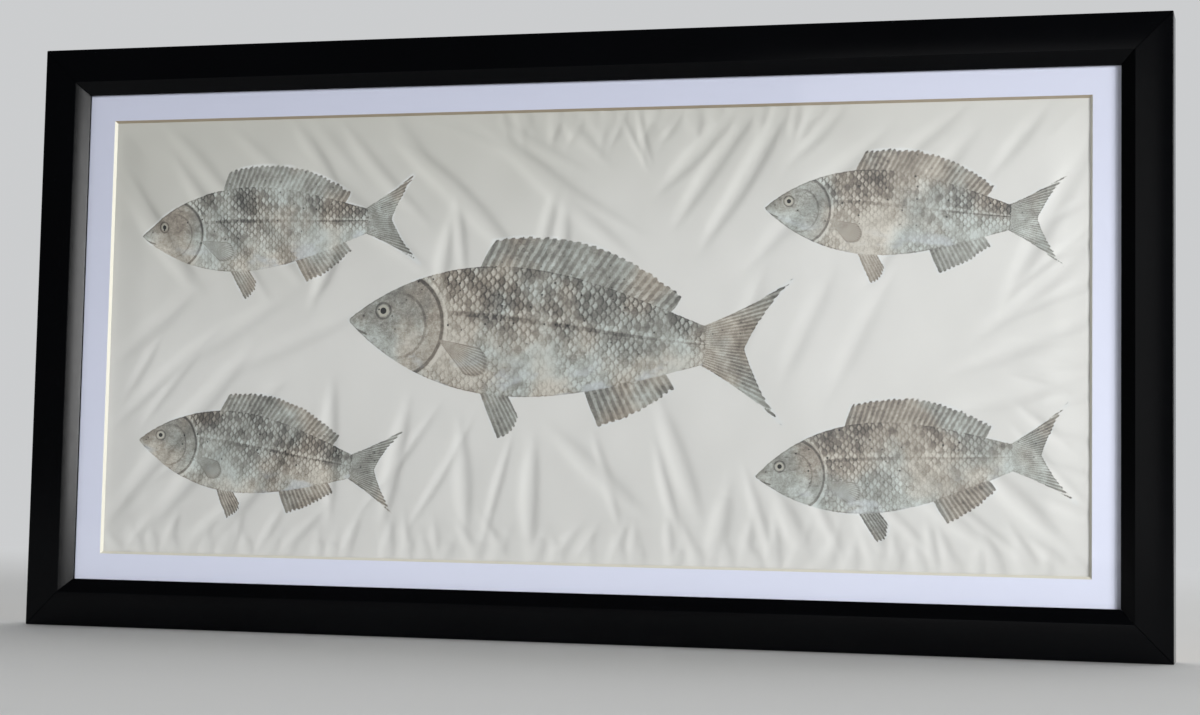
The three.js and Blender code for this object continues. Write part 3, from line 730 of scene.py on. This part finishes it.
def printed_paper():
    """Ivory paper with a shoal in warm grey ink. The sheet's own values say where each fish is."""
    g = Graph("printed_paper")
    x, _, z = g.axes(g.position())
    flat = g.vector(x, 0, z)
    fibre = g.noise(g.stretched(flat, (1, 1, 5)), 420, 3, 0.7)
    threads = g.noise(g.stretched(flat, (6, 1, 1)), 380, 3, 0.7)
    paper = bare_paper(g, flat, fibre, threads)
    mark = ink_marks(g, flat)
    at = SimpleNamespace(**{name: g.attribute(name) for name in FISH_VALUES})
    rays = g.line((at.ray + (mark.blotch - 0.5) * 0.25).do("FRACT"), 0.5, 0.38)

    body, fin = ink_shapes(g, flat, at, mark, rays)
    ink, eye = body_ink(g, flat, at, mark)
    edge = 1 - g.step((at.body_gap * body + at.fin_gap * fin).do("ABSOLUTE"), 0.5 * MM, 1.9 * MM)
    ink = ink * body + fin_ink(at, mark, rays) * fin + edge * (0.04 + mark.press * 0.26) * (body + fin)
    ink = ink + (mark.grain - 0.5) * 0.7 * (body + fin)
    colour = ink_colour(g, flat, at, ink, body, eye)
    dots = pin_dots(g, x, z) * (body + fin * 0.6) * g.step(at.rise, -0.6, -0.1)
    colour = g.mix(dots * 0.94, colour, DOT)

    # Round a fish the paper is a little cleaner
    cover = (body + fin).do("MINIMUM", 1)
    nearest = at.body_gap.do("MINIMUM", at.fin_gap)
    halo = (1 - g.step(nearest, 0.8 * MM, 3.0 * MM)) * g.step(mark.patch, 0.44, 0.56) * 0.75
    colour = g.mix(cover * 0.97, g.mix(halo, paper, PAPER_CLEAN), colour)
    normal = g.bump(fibre + threads + mark.grain * 0.3, 0.1, 0.12 * MM)
    return g.finish(colour, 0.6, normal, Specular_IOR_Level=0.3)


def pale_floor():
    """Pale floor that passes into the studio wall far off, so that no hard line shows."""
    g = Graph("pale_floor")
    place = g.position()
    x, y, _ = g.axes(place)
    far = g.step(g.length(x, y), *FLOOR_FADE)
    colour = g.mix(g.noise(place, 1.5, 2), *FLOOR)
    return g.finish(
        g.mix(far, colour, (0, 0, 0)),
        0.8,
        Specular_IOR_Level=(1 - far) * 0.2,
        Emission_Color=WALL_COLOUR,
        Emission_Strength=far * WALL_SHOWN,
    )


class Draws:
    """A repeatable row of numbers from 0 to 1, the same as the part's."""

    def __init__(self):
        self.count = 0

    def next(self):
        self.count += 1
        value = math.sin(self.count * DRAW_STEP) * DRAW_SPREAD
        return value - math.floor(value)


def fold_lines(families, draws):
    """Every fold: its two ends in metres from the window's middle, width, depth and bow."""
    folds = []
    for first, last, count, width, height in families:
        for i in range(count):
            share = i / (count - 1)
            ends = []
            for k, (a, b) in enumerate(zip(first, last)):
                spread = a + (b - a) * share - 0.5 + (2 * draws.next() - 1) * FOLD_JITTER
                ends.append(spread * (WINDOW_HEIGHT if k % 2 else WINDOW_WIDTH))
            drawn = draws.next() - 0.5
            top = height * FOLD_DEPTH * (1 + drawn * FOLD_SPREAD)
            folds.append((ends, width * FOLD_SHARPNESS * MM, top * MM, drawn * FOLD_BOW))
    return folds


def beside_line(x, z, x0, z0, x1, z1):
    """A line's length, and for each point how far along it, as a share, and how far beside it."""
    length = math.hypot(x1 - x0, z1 - z0)
    share = ((x - x0) * (x1 - x0) + (z - z0) * (z1 - z0)) / length**2
    return length, share, ((x - x0) * (z1 - z0) - (z - z0) * (x1 - x0)) / length


def relief(x, z):
    """How far the sheet's front stands above its flat plane, at points from the window's middle."""
    waves = [np.sin(x / a + z / b) for a, b in SWELL_SPANS]
    height = SWELL_HEIGHT * (1 + waves[0] * waves[1])
    for long, tall, rise in RIPPLES:
        height = height + rise * MM * (1 + np.sin(2 * math.pi * (x / long + z / tall)))
    inside = np.minimum(WINDOW_WIDTH / 2 - abs(x), WINDOW_HEIGHT / 2 - abs(z))
    inner = np.clip(inside / EDGE_BAND, 0, 1)
    inner = inner**2 * (3 - 2 * inner)
    height = height * (EDGE_SWELL + (1 - EDGE_SWELL) * inner)
    draws = Draws()
    folds = fold_lines(MAIN_FOLDS, draws) + fold_lines(FINE_FOLDS, draws)
    for ends, width, top, bow in folds:
        length, share, across = beside_line(x, z, *ends)
        held = np.clip(share, 0, 1)
        across = across + bow * (length / WINDOW_HEIGHT) ** 2 * np.sin(math.pi * held)
        taper = FOLD_ENDS + (1 - FOLD_ENDS) * np.sin(math.pi * held)
        past = (share - held) * length / FOLD_FADE
        narrow = width * (FOLD_TIP + (1 - FOLD_TIP) * np.sin(math.pi * held))
        steep = np.where(across * (ends[3] - ends[1]) > 0, STEEP_SIDE, SOFT_SIDE)
        height = height + top * taper * np.exp(-((across / steep) ** 2 + past**2) / (2 * narrow**2))
    limit = RELIEF_AT_EDGE + (RELIEF_LIMIT - RELIEF_AT_EDGE) * inner
    return limit * np.exp(-height / limit)


def body_height(u):
    u = np.clip(u, 0, 0.999)
    return BODY_HALF * (u / BODY_DEEPEST) ** BODY_HEAD * ((1 - u) / (1 - BODY_DEEPEST)) ** BODY_REAR


def curve(a, b, c, steps=CURVE_STEPS):
    """Points on a curve from a to c that bends towards b."""
    t = np.linspace(0, 1, steps)[:, None]
    a, b, c = (np.array(p, float) for p in (a, b, c))
    return (1 - t) ** 2 * a + 2 * t * (1 - t) * b + t**2 * c


def body_outline():
    u = BODY_END * np.linspace(0, 1, OUTLINE_STEPS) ** SNOUT_POWER
    upper = np.c_[u, body_height(u)]
    return np.r_[upper, (upper * (1, -1))[:0:-1]]


def fin_rays(side, base, rays, bulge, lean):
    """Roots and tips of a fin's rays."""
    share = np.linspace(0, 1, RAY_STEPS)
    u = base[0] + (base[1] - base[0]) * share
    angle = np.radians(lean[0] + (lean[1] - lean[0]) * share)
    long = rays[0] + (rays[1] - rays[0]) * share + bulge * np.sin(math.pi * share)
    rise = side * body_height(u)
    roots = np.c_[u, rise * FIN_ROOT]
    tips = np.c_[u + long * np.cos(angle), rise + side * long * np.sin(angle)]
    return roots, tips


def tail_outline():
    half = []
    for side in (1, -1):
        root = (TAIL_ROOT, side * body_height(BODY_END) * FIN_ROOT)
        tip = (TAIL_TIP[0], side * TAIL_TIP[1])
        bend = ((root[0] + tip[0]) / 2, (root[1] + tip[1]) / 2 - side * TAIL_BOW)
        outer = curve(root, bend, tip)
        inner = curve(tip, (TAIL_HOLLOW[0], side * TAIL_HOLLOW[1]), (TAIL_NOTCH, 0))
        half.append(np.r_[outer, inner[1:]])
    return np.r_[half[0], half[1][::-1][1:]]


def signed_distance(points, outline):
    """Distance from each point to a closed outline, below 0 inside it."""
    nearest = np.full(len(points), np.inf)
    inside = np.zeros(len(points), bool)
    for a, b in zip(outline, np.roll(outline, -1, 0)):
        edge = b - a
        share = np.clip((points - a) @ edge / max(edge @ edge, 1e-12), 0, 1)
        nearest = np.minimum(nearest, np.hypot(*(points - a - share[:, None] * edge).T))
        if a[1] != b[1]:
            crosses = (a[1] > points[:, 1]) != (b[1] > points[:, 1])
            inside ^= crosses & (points[:, 0] < a[0] + (points[:, 1] - a[1]) * edge[0] / edge[1])
    return np.where(inside, -nearest, nearest)


def fish_values(x, z):
    """For each point of the sheet: which place on which fish it is, and how far from its outlines."""
    values = {name: np.full(len(x), FAR_OFF if "gap" in name else 0.0) for name in FISH_VALUES}
    body, tail = body_outline(), tail_outline()
    for at_x, at_z, size, turn in FISH:
        angle = math.radians(turn)
        px, pz = x - (at_x - 0.5) * WINDOW_WIDTH, z - (at_z - 0.5) * WINDOW_HEIGHT
        u = (px * math.cos(angle) - pz * math.sin(angle)) / size + 0.5
        v = (px * math.sin(angle) + pz * math.cos(angle)) / size
        near = np.flatnonzero((u > FISH_ENDS[0]) & (u < FISH_ENDS[1]) & (abs(v) < FISH_HALF))
        points = np.c_[u[near], v[near]]
        body_gap = signed_distance(points, body) * size
        fin_gap = signed_distance(points, tail) * size
        reach = np.clip((points[:, 0] - TAIL_ROOT) / (1 - TAIL_ROOT), 0, 1)
        ray = np.arctan2(points[:, 1], points[:, 0] - TAIL_FAN) / math.radians(TAIL_SPREAD) * TAIL_RAYS
        for *fin, count in FINS:
            roots, tips = fin_rays(*fin)
            gap = signed_distance(points, np.r_[roots, tips[::-1]]) * size
            share, out = ray_place(points, roots, tips)
            better = gap < fin_gap
            ray = np.where(better, share * count, ray)
            reach = np.where(better, out, reach)
            fin_gap = np.minimum(fin_gap, gap)
        other = np.minimum(values["body_gap"][near], values["fin_gap"][near])
        closest = np.minimum(body_gap, fin_gap) < other
        rise = points[:, 1] / np.maximum(body_height(points[:, 0]), BODY_LEAST)
        rise = np.clip(rise, -RISE_LIMIT, RISE_LIMIT)
        made = dict(along=points[:, 0], across=points[:, 1], rise=rise, ray=ray, reach=reach)
        made.update(size=np.full(len(near), size), body_gap=body_gap, fin_gap=fin_gap)
        for name, value in made.items():
            values[name][near[closest]] = value[closest]
    return values


def ray_place(points, roots, tips):
    """Which ray of a fin each point lies on, as a share of the fin, and how far out on it."""
    best = np.full(len(points), np.inf)
    share, out = np.zeros(len(points)), np.zeros(len(points))
    index = np.linspace(0, 1, len(roots))
    for s in np.linspace(0, 1, RAY_PARTS * len(roots)):
        root = np.array([np.interp(s, index, roots[:, k]) for k in (0, 1)])
        ray = np.array([np.interp(s, index, tips[:, k]) for k in (0, 1)]) - root
        held = (points - root) @ ray / (ray @ ray)
        off = np.hypot(*(points - root - held[:, None] * ray).T)
        closer = off < best
        best[closer], share[closer], out[closer] = off[closer], s, np.clip(held, 0, 1)[closer]
    return share, out


def placed(name, data):
    """A new object in the scene."""
    made = bpy.data.objects.new(name, data)
    bpy.context.scene.collection.objects.link(made)
    return made


def new_piece(name, vertices, faces, material):
    mesh = bpy.data.meshes.new(name)
    mesh.from_pydata([tuple(map(float, p)) for p in vertices], [], faces)
    mesh.validate()
    mesh.materials.append(material)
    mesh.polygons.foreach_set("use_smooth", [True] * len(mesh.polygons))
    return placed(name, mesh)


def store(piece, name, values):
    """Keeps a number for each vertex, for the piece's material to read."""
    stored = piece.data.attributes.new(name, "FLOAT", "POINT")
    stored.data.foreach_set("value", values.astype(np.float32))


def seat(piece, slot, *nodes):
    """Every piece rides on the one body and stands for the CAD nodes named."""
    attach(piece, "root")
    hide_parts(*nodes)


def grid_slab(columns, rows, near, far):
    """Vertices and faces of a closed slab round the picture's middle.

    near gives the depth of its fine face at each place, and far that of the other, or is one depth.
    """
    x, z = (axis.ravel() for axis in np.meshgrid(columns, rows))
    cols, count = len(columns), len(x)
    upper = np.c_[x, near(x, z), z]
    quads = []
    for r in range(len(rows) - 1):
        corners = range(r * cols, r * cols + cols - 1)
        quads += [(c, c + 1, c + 1 + cols, c + cols) for c in corners]
    ring = [*range(cols - 1)]
    ring += [cols - 1 + r * cols for r in range(len(rows) - 1)]
    ring += [count - 1 - c for c in range(cols - 1)]
    ring += [count - cols - r * cols for r in range(len(rows) - 1)]
    if callable(far):
        lower = np.c_[x, far(x, z), z]
        lower_ring = [count + i for i in ring]
        lower_faces = [tuple(count + i for i in reversed(quad)) for quad in quads]
    else:
        lower = upper[ring].copy()
        lower[:, 1] = far
        lower_ring = [count + i for i in range(len(ring))]
        lower_faces = [tuple(reversed(lower_ring))]
    sides = []
    for i in range(len(ring)):
        j = (i + 1) % len(ring)
        sides.append((ring[i], lower_ring[i], lower_ring[j], ring[j]))
    return np.r_[upper, lower] + (0, 0, MIDDLE_Z), quads + sides + lower_faces


def even_steps(span, cell):
    return np.linspace(-span / 2, span / 2, round(span / cell) + 1)


def make_sheet():
    columns, rows = even_steps(SHEET_WIDTH, SHEET_CELL), even_steps(SHEET_HEIGHT, SHEET_CELL)
    vertices, faces = grid_slab(columns, rows, lambda x, z: SHEET_FRONT - relief(x, z), SHEET_BACK)
    sheet = new_piece("printed_sheet", vertices, faces, printed_paper())
    for name, value in fish_values(vertices[:, 0], vertices[:, 2] - MIDDLE_Z).items():
        store(sheet, name, value)
    fish = [f"print_fish_{i + 1}" for i in range(len(FISH))]
    seat(sheet, "print_paper", "print_sheet", *fish)


def rounded(corners):
    """An outline whose corners that have a radius are replaced by short curves."""
    points = []
    for i, (x, y, radius) in enumerate(corners):
        corner = np.array((x, y))
        if not radius:
            points.append(corner)
            continue
        ends = []
        for other in (corners[i - 1], corners[(i + 1) % len(corners)]):
            towards = np.array(other[:2]) - corner
            ends.append(corner + towards / np.hypot(*towards) * radius)
        points.extend(curve(ends[0], corner, ends[1], ROUND_STEPS))
    return np.array(points)


def moulding_section():
    """The moulding's outline: distance in from the outer edge, and depth."""
    sight = FACE_WIDTH + BEVEL_WIDTH
    slope_end = FRONT + BEVEL_DEPTH
    body = sight - RABBET_WIDTH
    return rounded([
        (0, BACK, OUTER_ROUND),
        (0, FRONT, OUTER_ROUND),
        (FACE_WIDTH, FRONT, INNER_ROUND),
        (sight, slope_end, INNER_ROUND),
        (sight, slope_end + LIP_DEPTH, 0),
        (body, slope_end + LIP_DEPTH, 0),
        (body, BACK, INNER_ROUND),
    ])


def shrunk(section, amount):
    """The section moved in on itself by a small amount."""
    before, after = np.roll(section, 1, 0), np.roll(section, -1, 0)
    along = after - before
    normal = np.c_[-along[:, 1], along[:, 0]] / np.hypot(*along.T)[:, None]
    middle = section.mean(0)
    towards = np.sign(((middle - section) * normal).sum(1))[:, None]
    return section + normal * towards * amount


def eased_bar(outline, ease, half, place):
    """A bar with this outline, eased all round both its ends: vertices and faces.

    half gives half its length at a point of the outline, and place puts all three into the scene.
    """
    eased = shrunk(outline, ease)
    loops = [(eased, -1, 0), (outline, -1, ease), (outline, 1, ease), (eased, 1, 0)]
    vertices = []
    for points, end, back_off in loops:
        vertices += [place(end * (half(a) - back_off), a, b) for a, b in points]
    count = len(outline)
    faces = []
    for k in range(len(loops) - 1):
        for i in range(count):
            j = (i + 1) % count
            faces.append((k * count + i, k * count + j, (k + 1) * count + j, (k + 1) * count + i))
    faces.append(tuple(reversed(range(count))))
    faces.append(tuple(range((len(loops) - 1) * count, len(loops) * count)))
    return vertices, faces


def make_rail(side, length, half_span, turn, material):
    """One rail, mitred at both ends."""
    spin = Euler((0, turn, 0)).to_matrix()

    def half(inset):
        return length / 2 - inset - MITRE_GAP * math.sqrt(0.5)

    def place(along, inset, y):
        return spin @ Vector((along, y, half_span - inset)) + Vector((0, 0, MIDDLE_Z))

    vertices, faces = eased_bar(moulding_section(), MITRE_EASE, half, place)
    rail = new_piece("moulding_" + side, vertices, faces, material)
    rail.data.flip_normals()
    rail.data.set_sharp_from_angle(angle=SHARP_ANGLE)
    seat(rail, "black_wood", "rail_" + side)


def make_rails():
    lying = black_paint("satin_black_lying", ALONG_X)
    standing = black_paint("satin_black_standing", ALONG_Z)
    width, height = RIGHT - LEFT, TOP - BOTTOM
    make_rail("top", width, height / 2, 0, lying)
    make_rail("right", height, width / 2, math.pi / 2, standing)
    make_rail("bottom", width, height / 2, math.pi, lying)
    make_rail("left", height, width / 2, -math.pi / 2, standing)


def cover_depth(x, z):
    """How far the paper cover hangs in between the strainer's bars, at points from its middle."""
    inside = np.minimum(FILL_WIDTH / 2 - BAR_WIDTH - abs(x), FILL_HEIGHT / 2 - BAR_WIDTH - abs(z))
    slack = 1 - np.exp(-np.clip(inside, 0, None) / COVER_BEND)
    depth = np.full_like(x, COVER_SAG)
    for long, tall, rise in BUCKLES:
        depth = depth + rise * MM * np.sin(2 * math.pi * (x / long + z / tall))
    for start, end, width, deep in WRINKLES:
        _, share, across = beside_line(x, z, *start, *end)
        fade = np.where(share > 0, np.exp(-(share**2) * 2), 0)
        depth = depth + deep * MM * fade * np.exp(-((across / (width * MM)) ** 2) / 2)
    return np.clip(depth, COVER_LEAST, None) * slack


def make_cover():
    """The paper over the back, pulled over the strainer's bars."""
    columns, rows = even_steps(FILL_WIDTH, COVER_CELL)[::-1], even_steps(FILL_HEIGHT, COVER_CELL)
    vertices, faces = grid_slab(
        columns,
        rows,
        lambda x, z: COVER_BACK - cover_depth(x, z),
        lambda x, z: COVER_BACK - COVER_PAPER - cover_depth(x, z),
    )
    seat(new_piece("kraft_cover", vertices, faces, kraft_paper()), "kraft", "dust_cover")


def make_cleat():
    top = FILL_HEIGHT / 2
    bottom = top - CLEAT_HEIGHT
    nose = bottom + CLEAT_BACK - CLEAT_FRONT - CLEAT_NOSE
    outline = rounded([
        (CLEAT_FRONT, top, CLEAT_EASE),
        (CLEAT_BACK, top, CLEAT_EASE),
        (CLEAT_BACK, bottom, CLEAT_EASE),
        (CLEAT_FRONT + CLEAT_NOSE, nose, CLEAT_EASE / 2),
        (CLEAT_FRONT, nose, CLEAT_EASE / 2),
    ])
    vertices, faces = eased_bar(
        outline,
        CLEAT_EASE,
        lambda y: CLEAT_LENGTH / 2,
        lambda along, y, z: (along, y, z + MIDDLE_Z),
    )
    cleat = new_piece("cleat_strip", vertices, faces, pine("pine_cleat", ALONG_X))
    cleat.data.flip_normals()
    cleat.data.set_sharp_from_angle(angle=SHARP_ANGLE)
    seat(cleat, "pine", "hanging_cleat")


def recess(x, z):
    """1 in the cross recess of a screw's head of radius 1, 0 outside it."""
    out = np.hypot(x, z)
    arm = np.minimum(abs(x), abs(z))
    within = np.clip((RECESS_HALF * (1.2 - out) - arm) / RECESS_WALL, 0, 1)
    return within * np.clip((RECESS_REACH - out) / RECESS_END, 0, 1)


def screw_face(u, v):
    """A low domed head with a cross recess, over a square from -1 to 1 that becomes the head."""
    x, z = disc(u, v)
    out = np.hypot(x, z)
    dome = SCREW_PROUD * (1 - out**2)
    return CLEAT_BACK + dome - RECESS_DEPTH * recess(x, z) * (1 - 0.5 * out / RECESS_REACH)


def disc(u, v):
    """Points of a square from -1 to 1 moved into a disc."""
    return u * np.sqrt(1 - v**2 / 2), v * np.sqrt(1 - u**2 / 2)


def make_screws():
    steel = zinc_steel()
    steps = np.linspace(-1, 1, SCREW_STEPS)
    places = np.linspace(SCREW_MARGIN - CLEAT_LENGTH / 2, CLEAT_LENGTH / 2 - SCREW_MARGIN, SCREW_COUNT)
    for number, at in enumerate(places, 1):
        vertices, faces = grid_slab(steps[::-1], steps, screw_face, CLEAT_BACK + SCREW_TIP)
        x, z = disc(vertices[:, 0], vertices[:, 2] - MIDDLE_Z)
        sunk = recess(x, z)
        turn = SCREW_TURN * number
        vertices[:, 0] = at + SCREW_RADIUS * (x * math.cos(turn) - z * math.sin(turn))
        vertices[:, 2] = MIDDLE_Z + (FILL_HEIGHT - BAR_WIDTH) / 2
        vertices[:, 2] += SCREW_RADIUS * (x * math.sin(turn) + z * math.cos(turn))
        screw = new_piece(f"screw_{number}", vertices, faces, steel)
        screw.data.set_sharp_from_angle(angle=SHARP_ANGLE)
        store(screw, "sunk", sunk)
        seat(screw, "steel", f"cleat_screw_{number}")


def dress_nodes():
    """CAD nodes whose shape is right get their material."""
    boards = plain_board("conservation_board", *BOARD)
    wide, tall = pine("pine_long_bars", ALONG_X), pine("pine_short_bars", ALONG_Z)
    finishes = {
        "glazing": clear_glazing(),
        "mat": mat_board(),
        "mount_board": boards,
        "backing_board": boards,
        "strainer_top": wide,
        "strainer_bottom": wide,
        "strainer_left": tall,
        "strainer_right": tall,
    }
    for name, material in finishes.items():
        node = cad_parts[name]
        node.data.materials.clear()
        node.data.materials.append(material)


def make_floor():
    turns = ((-1, -1), (1, -1), (1, 1), (-1, 1))
    corners = [(x * FLOOR_REACH, y * FLOOR_REACH, BOTTOM) for x, y in turns]
    floor = new_piece("floor", corners, [(0, 1, 2, 3)], pale_floor())


def add_area(name, place, size, radiance, colour=(1, 1, 1)):
    """A soft light of a given brightness that faces the picture."""
    light = bpy.data.lights.new(name, "AREA")
    light.shape = "RECTANGLE"
    light.size, light.size_y = size
    light.energy = radiance * math.pi * size[0] * size[1]
    light.color = colour
    lamp = placed(name, light)
    lamp.location = place
    lamp.rotation_euler = (Vector((0, 0, MIDDLE_Z)) - lamp.location).to_track_quat("-Z", "Y").to_euler()


def add_world():
    """A pale wall behind the frame, and a dim room in front, so that black paint stays black."""
    g = Graph("pale_studio", bpy.data.worlds)
    back = g.axes(g.read("ShaderNodeTexCoord", output="Generated"))[1]
    strength = g.step(back, *ROOM_TO_WALL, ROOM_LIGHT, WALL_LIGHT)
    room = g.read("ShaderNodeBackground", {"Color": ROOM_COLOUR, "Strength": strength})
    wall = g.read("ShaderNodeBackground", {"Color": WALL_COLOUR, "Strength": WALL_SHOWN})
    seen = g.read("ShaderNodeLightPath", output="Is Camera Ray")
    choice = g.read("ShaderNodeMixShader", {0: seen, 1: room, 2: wall})
    bpy.context.scene.world = g.end(choice, "ShaderNodeOutputWorld")


def add_lights():
    """A soft light far to the right, which hardly fades across the print, and three dimmer ones."""
    off, rise = math.radians(KEY_OFF_AXIS), math.radians(KEY_RISE)
    way = Vector((math.sin(off) * math.cos(rise), -math.cos(off), math.sin(off) * math.sin(rise)))
    add_area("key_softbox", Vector((0, 0, MIDDLE_Z)) + way * KEY_DISTANCE, KEY_SIZE, KEY_RADIANCE)
    add_area("side_strip", *SIDE_STRIP)
    add_area("overhead_softbox", *OVERHEAD)
    add_area("front_card", *FRONT_CARD)


def add_camera():
    camera = bpy.data.cameras.new("photo_camera")
    camera.sensor_width = 36
    camera.lens = CAMERA_LENS
    camera.shift_y = CAMERA_SHIFT
    eye = placed("photo_camera", camera)
    eye.location = CAMERA_AT
    eye.rotation_euler = [math.radians(a) for a in CAMERA_TURN]
    bpy.context.scene.camera = eye


add_camera()
make_rails()
make_sheet()
make_cover()
make_cleat()
make_screws()
dress_nodes()
make_floor()
add_world()
add_lights()
bpy.context.scene.view_settings.view_transform = "Standard"
